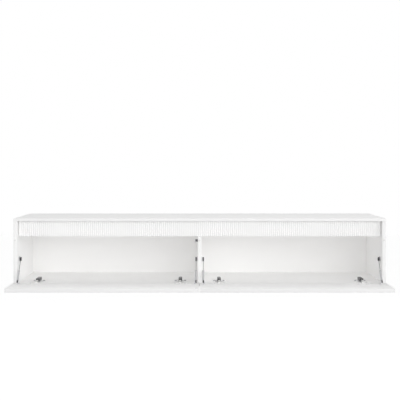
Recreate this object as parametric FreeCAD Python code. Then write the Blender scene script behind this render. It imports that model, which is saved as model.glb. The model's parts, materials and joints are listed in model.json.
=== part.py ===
"""Wall-hung media console with two drop-down flaps and a reeded fascia.

Millimetres. X runs along the console, -Y faces the room, +Z is up.
The origin is the middle of the row of wall-screw holes, in the wall plane.
The flaps are modelled open, lying level with the floor of the cabinet.
"""
import FreeCAD, Part
import math
import os
from FreeCAD import Vector

# ---- driving dimensions -------------------------------------------------------------------
WIDTH = 1600.0              # over the two side panels
DEPTH = 450.0               # wall to the front edges of the carcass
HEIGHT = 292.0              # underside to top surface
BOARD = 16.0                # sides, bottom, divider, rails, fascia and flaps
TOP_BOARD = 12.0            # thinner top panel, lying on the sides
BACK_BOARD = 3.0            # hardboard back
EDGE_ROUND = 1.0            # lacquered outer edges
FIT = 0.3                   # clearance between boards that slot together

RAIL_HEIGHT = 80.0          # hanging rail behind the back board
GROOVE_DEPTH = 6.0          # groove that holds the back board
WALL_HOLE_COUNT = 4
WALL_HOLE_INSET = 64.0      # outer wall holes from the side panels
WALL_HOLE_RADIUS = 4.25
BACK_HOLE_EXTRA = 1.5       # the back board's holes are this much wider

FASCIA_HEIGHT = 64.0
FASCIA_RECESS = 20.0        # fascia set back behind the front edges: the finger grip of the flaps
FASCIA_SIDE_GAP = 4.0
FASCIA_TOP_GAP = 2.0
FRONT_RAIL_HEIGHT = 60.0
REED_COUNT = 178
REED_DEPTH = 2.0
REED_VALLEY = 0.75          # flat between two reeds

GRIP_HEIGHT = 67.0          # opening left above a shut flap, where fingers reach behind it
FLAP_END_GAP = 1.0          # flap end to the outer face of the side panel
FLAP_MIDDLE_GAP = 3.0       # between the two flaps
FLAP_REAR_GAP = 3.0         # open flap to the front edge of the bottom
FLAP_FRONT_GAP = 2.0        # shut flap to the front edges of the carcass
FLAP_LOWER_STEP = 1.0       # lower edge of a shut flap above the underside of the carcass
FLAP_HINGE_ROUND = 3.0      # rounding of the two edges beside the hinge line

HINGE_FROM_SIDE = 84.0      # outer hinges from the side panels
HINGE_FROM_DIVIDER = 76.0   # inner hinges from the divider
CUP_RADIUS = 17.5
CUP_DEPTH = 12.0
CUP_WALL = 0.8
CUP_TAB = 3.0               # flap edge to the cup
CUP_PLAY = 0.1              # cup in its drilling
CUP_FLANGE = (52.0, 13.0, 1.2)
CUP_SCREW_SPACING = 42.0
CUP_FLANGE_OFFSET = 8.0     # flange centre beyond the cup's centre
CUP_EAR = 3.2                # half width of the ears that hold the pin
PIN_RADIUS = 1.25
PIN_LENGTH = 16.0
PIN_PLAY = 0.06             # running clearance of a pin or stud in its eye
PIN_PRESS = 0.02            # the pin in the arm
ARM_WIDTH = 14.0
ARM_SHEET = 1.4
ARM_NOSE_WIDTH = 8.0
ARM_NOSE_RADIUS = 2.3
ARM_NOSE_PLAY = 0.8         # nose to the ear on each side of it
ARM_NOSE_HEIGHT = 4.2       # top of the nose over the cabinet floor
ARM_BACK = 104.0            # rear end of the arm behind the front edge
ARM_FRONT = 24.0            # where the channel of the arm starts
ARM_TOP = 15.0              # top of the channel over the cabinet floor
PLATE_BLOCK = (10.6, 52.0)
PLATE_WING = (53.0, 14.0, 2.0)
PLATE_BEHIND = 76.0         # wing centre behind the front edge
PLATE_SCREW_SPACING = 40.0
ARM_SCREW_BEHIND = 16.0     # screw that clamps the arm, behind the wings
ARM_SCREW_LENGTH = 9.0

STAY_OFFSET = 7.5           # stay axis to the panel beside it
STAY_TOP = (50.0, 98.0)     # upper pivot: behind the front edge, above the cabinet floor
STAY_FOOT = (34.0, 8.0)     # lower pivot: before the front edge, above the open flap
STAY_TUBE_RADIUS = 4.0
STAY_TUBE_BORE = 2.9
STAY_TUBE_LENGTH = 54.0
STAY_TUBE_FLOOR = 5.0
STAY_TUBE_CAP = 3.0
STAY_ROD_RADIUS = 1.6
STAY_ROD_INSERT = 12.0      # rod end inside the tube
STAY_PISTON_PLAY = 0.05
STAY_PISTON_LENGTH = 6.0
STAY_EYE_RADIUS = 4.4
STAY_HEAD_RADIUS = 8.0      # the upper eye is larger
STAY_EYE_WIDTH = 6.0
STAY_NECK_LENGTH = 6.5
STAY_HEAD_NECK = 12.0       # upper pivot to the end of the upper neck
STAY_NECK_RADIUS = 2.9
STAY_THREAD = 2.5           # screwed into a moulded end
STAY_STUD_RADIUS = 2.0
STAY_SIDE_PLAY = 0.3        # between an eye and the bracket beside it
STAY_SCREW_LENGTH = 8.6
BRACKET_PLATE = (12.0, 20.0, 1.6)
BRACKET_FOOT = (7.0, 30.0)  # narrow foot of the bracket on a flap
BRACKET_EAR = 2.0

CATCH_BODY = (10.0, 38.0, 8.0)
CATCH_BELOW_FASCIA = 17.5   # catch centre under the lower edge of the fascia
CATCH_PROUD = 0.5           # catch face before the front edge of the divider
MAGNET_PROUD = 0.2
CATCH_MAGNET = (6.0, 6.0, 4.4)
STRIKE_RADIUS = 6.0
STRIKE_THICK = 1.0

SCREW_HEAD_RADIUS = 3.4
SCREW_HEAD_HEIGHT = 1.6
SCREW_RADIUS = 1.75
SCREW_LENGTH = 11.0
RAIL_SCREW_LENGTH = 26.0    # through the front rail into the fascia
RAIL_SCREW_COUNT = 8
SCREW_PLAY = 0.05
SCREW_MARGIN = 0.4          # rim of a plate beyond a screw's head

DOWEL_RADIUS = 4.0
DOWEL_LENGTH = 24.0
DOWEL_IN_FACE = 8.0         # the part of a dowel that is in the face of a board
DOWEL_PLAY = 0.05
CAM_RADIUS = 7.5
CAM_HEIGHT = 12.5
CAM_EDGE = 24.0             # cam centre to the joined edge
CAM_BOLT_RADIUS = 3.0
CAM_BOLT_IN_TOP = 8.0
CAM_BOLT_IN_CAM = 4.0       # bolt head inside its cam
JOINT_FRONT = 90.0          # first row of fittings behind the front edge
JOINT_REAR = 60.0           # last row of fittings before the wall
JOINT_PAIR = 32.0           # dowel beside its cam
RAIL_DOWEL_SPACING = 34.0   # two dowels in each end of a rail

BUMPER_RADIUS = 4.0
BUMPER_HEIGHT = 1.8
BUMPER_BELOW_FASCIA = 16.0

# ---- places worked out from them ------------------------------------------------------------
TOP_Z = TOP_BOARD + RAIL_HEIGHT / 2
UNDER_TOP_Z = TOP_Z - TOP_BOARD
BOTTOM_Z = TOP_Z - HEIGHT
FLOOR_Z = BOTTOM_Z + BOARD
FRONT_Y = -DEPTH
SIDE_IN_X = WIDTH / 2 - BOARD
BACK_Y = -(BOARD + FIT)                     # rear face of the back board
BACK_FRONT_Y = BACK_Y - BACK_BOARD
FASCIA_TOP_Z = UNDER_TOP_Z - FASCIA_TOP_GAP
FASCIA_LOW_Z = FASCIA_TOP_Z - FASCIA_HEIGHT
FRONT_RAIL_BEHIND = FASCIA_RECESS + BOARD   # front face of the rail behind the front edge
DIVIDER_NOTCH_BEHIND = FRONT_RAIL_BEHIND + BOARD + FIT
LOWER_EDGE = -BOARD + FLAP_LOWER_STEP       # shut flap's lower edge, from the cabinet floor
FLAP_LENGTH = UNDER_TOP_Z - FLOOR_Z - GRIP_HEIGHT - LOWER_EDGE
WALL_HOLE_SPACING = 2 * (SIDE_IN_X - WALL_HOLE_INSET) / (WALL_HOLE_COUNT - 1)
HINGE_OUTER = SIDE_IN_X - HINGE_FROM_SIDE
HINGE_INNER = BOARD / 2 + HINGE_FROM_DIVIDER
HINGE_PLACES = {"left_outer": -HINGE_OUTER, "left_inner": -HINGE_INNER,
                "right_inner": HINGE_INNER, "right_outer": HINGE_OUTER}
PIVOT_BEHIND = (LOWER_EDGE - FLAP_REAR_GAP - FLAP_FRONT_GAP) / 2
PIVOT_ABOVE = (LOWER_EDGE - FLAP_REAR_GAP + FLAP_FRONT_GAP) / 2
CUP_BEHIND = -(FLAP_REAR_GAP + CUP_TAB + CUP_RADIUS)
X_AXIS = Vector(1, 0, 0)
Y_AXIS = Vector(0, 1, 0)
Z_AXIS = Vector(0, 0, 1)


def at(x, behind, above):
    """Point given by its distance behind the front edges and above the cabinet floor."""
    return Vector(x, FRONT_Y + behind, FLOOR_Z + above)


def box(x0, x1, y0, y1, z0, z1):
    return Part.makeBox(x1 - x0, y1 - y0, z1 - z0, Vector(x0, y0, z0))


def rod(radius, length, start, direction):
    return Part.makeCylinder(radius, length, start, direction)


def drill(solid, tools):
    for tool in tools:
        solid = solid.cut(tool)
    return solid


def fuse(solids):
    joined = solids[0]
    for solid in solids[1:]:
        joined = joined.fuse(solid)
    return joined.removeSplitter()


def rounded(solid, radius, wanted):
    """Fillet the edges whose midpoint passes the test."""
    edges = [edge for edge in solid.Edges if wanted(edge.CenterOfMass)]
    return solid.makeFillet(radius, edges)


def side_profile(points, x0, width):
    """Plate cut to an outline of (behind, above) points and given its width along X."""
    corners = [at(x0, behind, above) for behind, above in points]
    face = Part.Face(Part.makePolygon(corners + [corners[0]]))
    return face.extrude(Vector(width, 0, 0))


def row(count, spacing):
    """Evenly spaced places about zero."""
    return [(index - (count - 1) / 2) * spacing for index in range(count)]


# ---- fittings that join the boards -----------------------------------------------------------
JOINT_ROWS = (FRONT_Y + JOINT_FRONT, -JOINT_REAR)
UPRIGHTS = {"left": -SIDE_IN_X - BOARD / 2, "middle": 0.0, "right": SIDE_IN_X + BOARD / 2}


def dowel_places():
    """The two boards of each joint, the point on the seam, the way into the board drilled in its face."""
    places = []
    for name, x in UPRIGHTS.items():
        for y in JOINT_ROWS:
            places.append(("top_panel", name, Vector(x, y + JOINT_PAIR, UNDER_TOP_Z), Z_AXIS))
    for y in JOINT_ROWS:
        places.append(("bottom_panel", "middle", Vector(0, y, FLOOR_Z), -Z_AXIS))
    rail_y = FRONT_Y + FRONT_RAIL_BEHIND + BOARD / 2
    rail_z = UNDER_TOP_Z - FRONT_RAIL_HEIGHT / 2
    for name, side in (("left", -1), ("right", 1)):
        inner = side * SIDE_IN_X
        for y in JOINT_ROWS:
            for shift in (0.0, JOINT_PAIR):
                seam = Vector(inner, y + shift, FLOOR_Z - BOARD / 2)
                places.append((name, "bottom_panel", seam, X_AXIS * side))
        for shift in row(2, RAIL_DOWEL_SPACING):
            places.append((name, "hanging_rail", Vector(inner, -BOARD / 2, shift), X_AXIS * side))
            places.append((name, "front_rail", Vector(inner, rail_y, rail_z + shift), X_AXIS * side))
    return places


def dowel(seam, way, play=0.0):
    return rod(DOWEL_RADIUS + play, DOWEL_LENGTH + 2 * play, seam + way * (DOWEL_IN_FACE + play), -way)


def dowel_holes(board):
    return [dowel(seam, way, DOWEL_PLAY)
            for face, end, seam, way in dowel_places() if board in (face, end)]


def cam_bolt(x, y, play=0.0):
    """Bolt in the top panel that hangs down into the cam of an upright."""
    start = UNDER_TOP_Z + CAM_BOLT_IN_TOP + play
    reach = CAM_BOLT_IN_TOP + CAM_EDGE - CAM_RADIUS + CAM_BOLT_IN_CAM + 2 * play
    return rod(CAM_BOLT_RADIUS + play, reach, Vector(x, y, start), -Z_AXIS)


def cam_housing(x, y, inward, play=0.0):
    """Round cam let into the face of an upright, its slotted face flush with the board."""
    face = x + inward * BOARD / 2
    start = Vector(face, y, UNDER_TOP_Z - CAM_EDGE)
    return rod(CAM_RADIUS + play, CAM_HEIGHT + play, start, X_AXIS * -inward)


def cam_places():
    inward = {"left": 1, "middle": 1, "right": -1}
    return [(x, y, inward[name]) for name, x in UPRIGHTS.items() for y in JOINT_ROWS]


def cam_holes(upright):
    holes = []
    for x, y, inward in cam_places():
        if x == UPRIGHTS[upright]:
            holes += [cam_housing(x, y, inward, DOWEL_PLAY), cam_bolt(x, y, DOWEL_PLAY)]
    return holes


# ---- carcass ---------------------------------------------------------------------------------
SIDES = {"left": -1, "right": 1}


def back_groove():
    """Space for the edges of the back board in the boards around it."""
    return box(-SIDE_IN_X - GROOVE_DEPTH, SIDE_IN_X + GROOVE_DEPTH, BACK_FRONT_Y - FIT, BACK_Y + FIT,
               FLOOR_Z - GROOVE_DEPTH, UNDER_TOP_Z + GROOVE_DEPTH)


def top_panel():
    panel = box(-WIDTH / 2, WIDTH / 2, FRONT_Y, 0, UNDER_TOP_Z, TOP_Z)
    panel = rounded(panel, EDGE_ROUND, lambda mid: mid.z > TOP_Z - EDGE_ROUND and mid.y < -EDGE_ROUND)
    holes = dowel_holes("top_panel") + [cam_bolt(x, y, DOWEL_PLAY) for x, y, inward in cam_places()]
    return drill(panel, holes + [back_groove()])


def side_panel(name):
    side = SIDES[name]
    inner, outer = side * SIDE_IN_X, side * WIDTH / 2
    panel = box(min(inner, outer), max(inner, outer), FRONT_Y, 0, BOTTOM_Z, UNDER_TOP_Z)
    holes = dowel_holes(name) + cam_holes(name) + stay_screw_holes(name + "_outer")
    return drill(panel, holes + [back_groove()])


def bottom_panel():
    panel = box(-SIDE_IN_X, SIDE_IN_X, FRONT_Y, 0, BOTTOM_Z, FLOOR_Z)
    holes = dowel_holes("bottom_panel") + [pilot(placed) for placed in plate_screws()]
    return drill(panel, holes + [back_groove()])


def centre_divider():
    panel = box(-BOARD / 2, BOARD / 2, FRONT_Y, BACK_FRONT_Y - FIT, FLOOR_Z, UNDER_TOP_Z)
    notch_low = FASCIA_LOW_Z - FIT
    notch = box(-BOARD, BOARD, FRONT_Y - 1, FRONT_Y + DIVIDER_NOTCH_BEHIND, notch_low, UNDER_TOP_Z + 1)
    holes = [notch] + dowel_holes("middle") + cam_holes("middle")
    holes += stay_screw_holes("left_inner") + stay_screw_holes("right_inner")
    return drill(panel, holes + [pilot(placed) for placed in catch_screws()])


def wall_hole(x, radius):
    return rod(radius, BOARD + BACK_BOARD + 4 * FIT, Vector(x, FIT, 0), -Y_AXIS)


def hanging_rail():
    rail = box(-SIDE_IN_X, SIDE_IN_X, -BOARD, 0, -RAIL_HEIGHT / 2, RAIL_HEIGHT / 2)
    holes = [wall_hole(x, WALL_HOLE_RADIUS) for x in row(WALL_HOLE_COUNT, WALL_HOLE_SPACING)]
    return drill(rail, holes + dowel_holes("hanging_rail"))


def back_panel():
    reach = GROOVE_DEPTH - FIT
    board = box(-SIDE_IN_X - reach, SIDE_IN_X + reach, BACK_FRONT_Y, BACK_Y,
                FLOOR_Z - reach, UNDER_TOP_Z + reach)
    wide = WALL_HOLE_RADIUS + BACK_HOLE_EXTRA
    return drill(board, [wall_hole(x, wide) for x in row(WALL_HOLE_COUNT, WALL_HOLE_SPACING)])


def front_rail():
    front = FRONT_Y + FRONT_RAIL_BEHIND
    rail = box(-SIDE_IN_X, SIDE_IN_X, front, front + BOARD, UNDER_TOP_Z - FRONT_RAIL_HEIGHT, UNDER_TOP_Z)
    return drill(rail, dowel_holes("front_rail") + [pilot(placed) for placed in fascia_screws()])


def fluted_fascia():
    """Board whose face is a row of round reeds, drawn as one outline and run down the board."""
    half = SIDE_IN_X - FASCIA_SIDE_GAP
    crest = FRONT_Y + FASCIA_RECESS
    valley = crest + REED_DEPTH
    pitch = 2 * half / REED_COUNT
    edges = []
    cursor = Vector(-half, valley, FASCIA_LOW_Z)
    for index in range(REED_COUNT):
        middle = -half + (index + 0.5) * pitch
        reach = (pitch - REED_VALLEY) / 2
        left = Vector(middle - reach, valley, FASCIA_LOW_Z)
        right = Vector(middle + reach, valley, FASCIA_LOW_Z)
        edges.append(Part.LineSegment(cursor, left).toShape())
        edges.append(Part.Arc(left, Vector(middle, crest, FASCIA_LOW_Z), right).toShape())
        cursor = right
    rear = crest + BOARD
    corners = [cursor, Vector(half, valley, FASCIA_LOW_Z), Vector(half, rear, FASCIA_LOW_Z),
               Vector(-half, rear, FASCIA_LOW_Z), Vector(-half, valley, FASCIA_LOW_Z)]
    for start, end in zip(corners, corners[1:]):
        edges.append(Part.LineSegment(start, end).toShape())
    board = Part.Face(Part.Wire(edges)).extrude(Vector(0, 0, FASCIA_HEIGHT))
    return drill(board, [pilot(placed) for placed in fascia_screws()])


# ---- screws ----------------------------------------------------------------------------------
def screw(seat, direction, length=SCREW_LENGTH):
    """Pan-head screw: the seat is under its head, the direction is the way it is driven."""
    head = rod(SCREW_HEAD_RADIUS, SCREW_HEAD_HEIGHT, seat, -direction)
    shank = rod(SCREW_RADIUS, length, seat, direction)
    return {"solid": fuse([head, shank]), "seat": seat, "way": direction, "length": length}


def pilot(placed):
    """Hole for a placed screw's shank."""
    return rod(SCREW_RADIUS + SCREW_PLAY, placed["length"] + FIT, placed["seat"], placed["way"])


def fascia_screws():
    seat_y = FRONT_Y + FRONT_RAIL_BEHIND + BOARD
    spacing = (2 * SIDE_IN_X - 2 * JOINT_FRONT) / (RAIL_SCREW_COUNT - 1)
    level = (FASCIA_TOP_Z + FASCIA_LOW_Z) / 2
    return [screw(Vector(x, seat_y, level), -Y_AXIS, RAIL_SCREW_LENGTH)
            for x in row(RAIL_SCREW_COUNT, spacing)]


def plate_screws():
    seats = [at(x + shift, PLATE_BEHIND, PLATE_WING[2])
             for x in HINGE_PLACES.values() for shift in row(2, PLATE_SCREW_SPACING)]
    return [screw(seat, -Z_AXIS) for seat in seats]


def arm_screws():
    """The screw that clamps each arm to its mounting plate."""
    return [screw(at(x, PLATE_BEHIND + ARM_SCREW_BEHIND, ARM_TOP), -Z_AXIS, ARM_SCREW_LENGTH)
            for x in HINGE_PLACES.values()]


def holes_near(placed, x, reach):
    return [pilot(one) for one in placed if abs(one["seat"].x - x) < reach]


def cup_screws(names):
    behind = CUP_BEHIND - CUP_FLANGE_OFFSET
    seats = [at(HINGE_PLACES[name] + shift, behind, CUP_FLANGE[2])
             for name in names for shift in row(2, CUP_SCREW_SPACING)]
    return [screw(seat, -Z_AXIS) for seat in seats]


# ---- hinges ----------------------------------------------------------------------------------
def hinge_pin(x, play=0.0):
    """Pin across the cup, on the axis that a flap turns about."""
    half = PIN_LENGTH / 2 + play
    return rod(PIN_RADIUS + play, 2 * half, at(x - half, PIVOT_BEHIND, PIVOT_ABOVE), X_AXIS)


def hinge_cup(x):
    """Drilled-in cup with an open mouth, its screw flange and two ears for the pin."""
    centre = at(x, CUP_BEHIND, -CUP_DEPTH)
    body = rod(CUP_RADIUS, CUP_DEPTH + CUP_FLANGE[2] / 2, centre, Z_AXIS)
    length, width, thick = CUP_FLANGE
    middle = at(x, CUP_BEHIND - CUP_FLANGE_OFFSET, 0)
    plate = box(x - length / 2, x + length / 2, middle.y - width / 2, middle.y + width / 2,
                FLOOR_Z, FLOOR_Z + thick)
    plate = rounded(plate, width / 3, lambda mid: abs(mid.z - FLOOR_Z - thick / 2) < thick / 4)
    hollow = rod(CUP_RADIUS - CUP_WALL, CUP_DEPTH * 2, centre + Z_AXIS * CUP_WALL, Z_AXIS)
    shell = fuse([body, plate]).cut(hollow)
    between = ARM_NOSE_WIDTH / 2 + ARM_NOSE_PLAY
    pivot = at(x, PIVOT_BEHIND, PIVOT_ABOVE)
    for side in (-1, 1):
        near, far = x + side * between, x + side * CUP_RADIUS
        ear = box(min(near, far), max(near, far), pivot.y - CUP_EAR, pivot.y + CUP_RADIUS,
                  centre.z, pivot.z + CUP_EAR)
        shell = shell.fuse(ear.common(body))
    holes = holes_near(cup_screws(HINGE_PLACES), x, length / 2)
    return drill(shell.removeSplitter(), [hinge_pin(x, PIN_PLAY)] + holes)


def hinge_arm(x):
    """Pressed channel with a cranked nose that reaches over the edge into the cup."""
    nose_under = ARM_NOSE_HEIGHT - ARM_SHEET * 2
    nose_side = x - ARM_NOSE_WIDTH / 2
    nose = side_profile([
        (PIVOT_BEHIND - ARM_NOSE_RADIUS, PIVOT_ABOVE), (PIVOT_BEHIND + ARM_NOSE_RADIUS, PIVOT_ABOVE),
        (PIVOT_BEHIND + ARM_NOSE_RADIUS, nose_under), (0.0, nose_under),
        (ARM_FRONT, ARM_TOP - ARM_SHEET * 3), (ARM_FRONT + ARM_WIDTH, ARM_TOP - ARM_SHEET),
        (ARM_FRONT + ARM_WIDTH, ARM_TOP), (ARM_FRONT, ARM_TOP), (-ARM_SHEET, ARM_NOSE_HEIGHT),
        (PIVOT_BEHIND - ARM_NOSE_RADIUS / 2, ARM_NOSE_HEIGHT)], nose_side, ARM_NOSE_WIDTH)
    barrel = rod(ARM_NOSE_RADIUS, ARM_NOSE_WIDTH, at(nose_side, PIVOT_BEHIND, PIVOT_ABOVE), X_AXIS)
    outer = side_profile([
        (ARM_FRONT, ARM_TOP - ARM_SHEET * 3), (ARM_FRONT + ARM_TOP, PLATE_WING[2] + FIT),
        (ARM_BACK, PLATE_WING[2] + FIT), (ARM_BACK, ARM_TOP - ARM_SHEET),
        (ARM_BACK - ARM_SHEET * 2, ARM_TOP), (ARM_FRONT, ARM_TOP)], x - ARM_WIDTH / 2, ARM_WIDTH)
    half = ARM_WIDTH / 2 - ARM_SHEET
    channel = box(x - half, x + half, FRONT_Y + ARM_FRONT + ARM_WIDTH / 2, FRONT_Y + ARM_BACK + 1,
                  FLOOR_Z, FLOOR_Z + ARM_TOP - ARM_SHEET)
    outer = outer.cut(channel)
    beside = at(x - ARM_NOSE_WIDTH, PIVOT_BEHIND, PIVOT_ABOVE)
    bore = rod(PIN_RADIUS + PIN_PRESS, ARM_NOSE_WIDTH * 2, beside, X_AXIS)
    return drill(fuse([outer, nose, barrel]), [bore] + holes_near(arm_screws(), x, ARM_WIDTH))


def hinge_plate(x):
    """Mounting plate: a block under the arm with a wing and a screw on each side."""
    length, width, thick = PLATE_WING
    middle = FRONT_Y + PLATE_BEHIND
    wing = box(x - length / 2, x + length / 2, middle - width / 2, middle + width / 2,
               FLOOR_Z, FLOOR_Z + thick)
    wing = rounded(wing, width / 3, lambda mid: abs(mid.z - FLOOR_Z - thick / 2) < thick / 4)
    wide, long = PLATE_BLOCK
    high = ARM_TOP - ARM_SHEET - FIT
    block = box(x - wide / 2, x + wide / 2, middle - long / 2, middle + long / 2, FLOOR_Z, FLOOR_Z + high)
    under_arm = box(x - wide, x + wide, FRONT_Y + ARM_FRONT + ARM_WIDTH, FRONT_Y + ARM_BACK - ARM_SHEET,
                    FLOOR_Z, FLOOR_Z + high)
    plate = fuse([wing, block.common(under_arm)])
    return drill(plate, holes_near(plate_screws() + arm_screws(), x, length / 2))


# ---- stays -----------------------------------------------------------------------------------
# each stay: the face of the panel it stands beside, and the way from that face into the compartment
STAYS = {
    "left_outer": (-SIDE_IN_X, 1), "left_inner": (-BOARD / 2, -1),
    "right_inner": (BOARD / 2, 1), "right_outer": (SIDE_IN_X, -1),
}
STAY_TOP_POINT = (STAY_TOP[0], STAY_TOP[1])
STAY_FOOT_POINT = (-STAY_FOOT[0], STAY_FOOT[1])
STAY_BEHIND_STUD = BRACKET_PLATE[0]         # screws of an upper bracket behind its stud
EAR_BESIDE = STAY_OFFSET + STAY_EYE_WIDTH / 2 + STAY_SIDE_PLAY


def stay_line(name):
    """Lower pivot, upper pivot and the direction from one to the other."""
    face, inward = STAYS[name]
    x = face + inward * STAY_OFFSET
    foot = at(x, *STAY_FOOT_POINT)
    head = at(x, *STAY_TOP_POINT)
    return foot, head, (head - foot).normalize()


def stay_end(pivot, way, radius, length):
    """Moulded end: a flat eye across the pivot and a round neck with a threaded hole."""
    eye = rod(radius, STAY_EYE_WIDTH, pivot - X_AXIS * (STAY_EYE_WIDTH / 2), X_AXIS)
    neck = rod(STAY_NECK_RADIUS, length, pivot, way)
    thread = rod(STAY_ROD_RADIUS + PIN_PRESS, STAY_THREAD, pivot + way * (length - STAY_THREAD), way)
    return fuse([eye, neck]).cut(thread)


def stay_foot(name):
    """Lower end, which turns on the stud of the flap bracket."""
    foot, head, way = stay_line(name)
    stud = rod(STAY_STUD_RADIUS + PIN_PLAY, STAY_EYE_WIDTH * 2, foot - X_AXIS * STAY_EYE_WIDTH, X_AXIS)
    return stay_end(foot, way, STAY_EYE_RADIUS, STAY_NECK_LENGTH).cut(stud)


def stay_head(name):
    """Upper end, which lies against the stud of the wall bracket."""
    foot, head, way = stay_line(name)
    return stay_end(head, -way, STAY_HEAD_RADIUS, STAY_HEAD_NECK)


def stay_cylinder(name):
    """Damper tube with a bore for the piston and a threaded spigot below."""
    foot, head, way = stay_line(name)
    start = foot + way * STAY_NECK_LENGTH
    tube = rod(STAY_TUBE_RADIUS, STAY_TUBE_LENGTH, start, way)
    spigot = rod(STAY_ROD_RADIUS, STAY_THREAD + STAY_TUBE_FLOOR / 2, start - way * STAY_THREAD, way)
    inside = start + way * STAY_TUBE_FLOOR
    bore = rod(STAY_TUBE_BORE, STAY_TUBE_LENGTH - STAY_TUBE_FLOOR - STAY_TUBE_CAP, inside, way)
    mouth = rod(STAY_ROD_RADIUS + FIT, STAY_TUBE_LENGTH, inside, way)
    return drill(fuse([tube, spigot]), [bore, mouth])


def stay_rod(name):
    """Piston rod; the piston runs in the tube and the other end is screwed into the head."""
    foot, head, way = stay_line(name)
    start = foot + way * (STAY_NECK_LENGTH + STAY_TUBE_LENGTH - STAY_ROD_INSERT)
    length = (head - start).Length - STAY_HEAD_NECK + STAY_THREAD
    stem = rod(STAY_ROD_RADIUS, length, start, way)
    piston = rod(STAY_TUBE_BORE - STAY_PISTON_PLAY, STAY_PISTON_LENGTH, start, way)
    return fuse([stem, piston])


def bracket_screws(name, on_flap):
    """Two screws beside the stud of a bracket."""
    face, inward = STAYS[name]
    length = BRACKET_FOOT[1] if on_flap else BRACKET_PLATE[1]
    places = row(2, length - 2 * (SCREW_HEAD_RADIUS + SCREW_MARGIN))
    if on_flap:
        x = face + inward * (EAR_BESIDE + BRACKET_EAR / 2)
        seats = [at(x, STAY_FOOT_POINT[0] + shift, BRACKET_PLATE[2]) for shift in places]
        return [screw(seat, -Z_AXIS) for seat in seats]
    x = face + inward * BRACKET_PLATE[2]
    behind, above = STAY_TOP_POINT
    seats = [at(x, behind + STAY_BEHIND_STUD, above + shift) for shift in places]
    return [screw(seat, X_AXIS * -inward, STAY_SCREW_LENGTH) for seat in seats]


def stay_screw_holes(name):
    """Pilot holes of an upper bracket in the panel behind it."""
    return [pilot(placed) for placed in bracket_screws(name, on_flap=False)]


def stay_wall_bracket(name):
    """Plate on the panel with the stud that carries the head of the stay."""
    face, inward = STAYS[name]
    half = BRACKET_PLATE[1] / 2
    thick = BRACKET_PLATE[2]
    behind, above = STAY_TOP_POINT
    centre = at(face, behind, above)
    plate = box(min(face, face + inward * thick), max(face, face + inward * thick), centre.y - half / 2,
                centre.y + STAY_BEHIND_STUD + BRACKET_PLATE[0] / 2, centre.z - half, centre.z + half)
    reach = STAY_OFFSET - STAY_EYE_WIDTH / 2 - STAY_SIDE_PLAY
    stud = rod(STAY_STUD_RADIUS, reach, centre, X_AXIS * inward)
    return drill(fuse([plate, stud]), [pilot(placed) for placed in bracket_screws(name, on_flap=False)])


def stay_flap_bracket(name):
    """Angle on the flap: a foot that is screwed down and an ear with the stud of the stay."""
    face, inward = STAYS[name]
    near = face + inward * EAR_BESIDE
    edge = near + inward * BRACKET_EAR
    centre = at(near, *STAY_FOOT_POINT)
    wide, long = BRACKET_FOOT
    middle = (near + edge) / 2
    foot = box(middle - wide / 2, middle + wide / 2, centre.y - long / 2, centre.y + long / 2,
               FLOOR_Z, FLOOR_Z + BRACKET_PLATE[2])
    ear = box(min(near, edge), max(near, edge), centre.y - STAY_EYE_RADIUS, centre.y + STAY_EYE_RADIUS,
              FLOOR_Z, centre.z)
    crown = rod(STAY_EYE_RADIUS, BRACKET_EAR, centre, X_AXIS * inward)
    stud = rod(STAY_STUD_RADIUS, STAY_EYE_WIDTH + STAY_SIDE_PLAY, centre, X_AXIS * -inward)
    bracket = fuse([foot, ear, crown, stud])
    return drill(bracket, [pilot(placed) for placed in bracket_screws(name, on_flap=True)])


# ---- magnetic catch of the left flap ---------------------------------------------------------
CATCH_Z = FASCIA_LOW_Z - CATCH_BELOW_FASCIA
CATCH_X = -BOARD / 2 - CATCH_BODY[0] / 2


def catch_body():
    wide, long, high = CATCH_BODY
    front = FRONT_Y - CATCH_PROUD
    body = box(CATCH_X - wide / 2, CATCH_X + wide / 2, front, front + long,
               CATCH_Z - high / 2, CATCH_Z + high / 2)
    return drill(body, [catch_magnet(SCREW_PLAY)] + [pilot(placed) for placed in catch_screws()])


def catch_magnet(play=0.0):
    wide, long, high = CATCH_MAGNET
    front = FRONT_Y - CATCH_PROUD - MAGNET_PROUD
    return box(CATCH_X - wide / 2 - play, CATCH_X + wide / 2 + play, front - play, front + long + play,
               CATCH_Z - high / 2 - play, CATCH_Z + high / 2 + play)


def catch_screws():
    wide, long, high = CATCH_BODY
    seats = [Vector(CATCH_X - wide / 2, FRONT_Y - CATCH_PROUD + long * share, CATCH_Z)
             for share in (0.4, 0.8)]
    return [screw(seat, X_AXIS, wide + BOARD / 2) for seat in seats]


def catch_strike():
    """Steel disc on the flap that meets the magnet when the flap is shut."""
    shut_height = CATCH_Z - FLOOR_Z
    before = shut_height - LOWER_EDGE + FLAP_REAR_GAP
    return rod(STRIKE_RADIUS, STRIKE_THICK, at(CATCH_X, -before, 0), Z_AXIS)


# ---- flaps -----------------------------------------------------------------------------------
FLAP_FAR = WIDTH / 2 - FLAP_END_GAP
FLAP_NEAR = FLAP_MIDDLE_GAP / 2
FLAPS = {"left": (-FLAP_FAR, -FLAP_NEAR), "right": (FLAP_NEAR, FLAP_FAR)}


def flap_screws(side):
    names = [name for name in HINGE_PLACES if name.startswith(side)]
    placed = cup_screws(names)
    for name in names:
        placed += bracket_screws(name, on_flap=True)
    return placed


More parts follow.
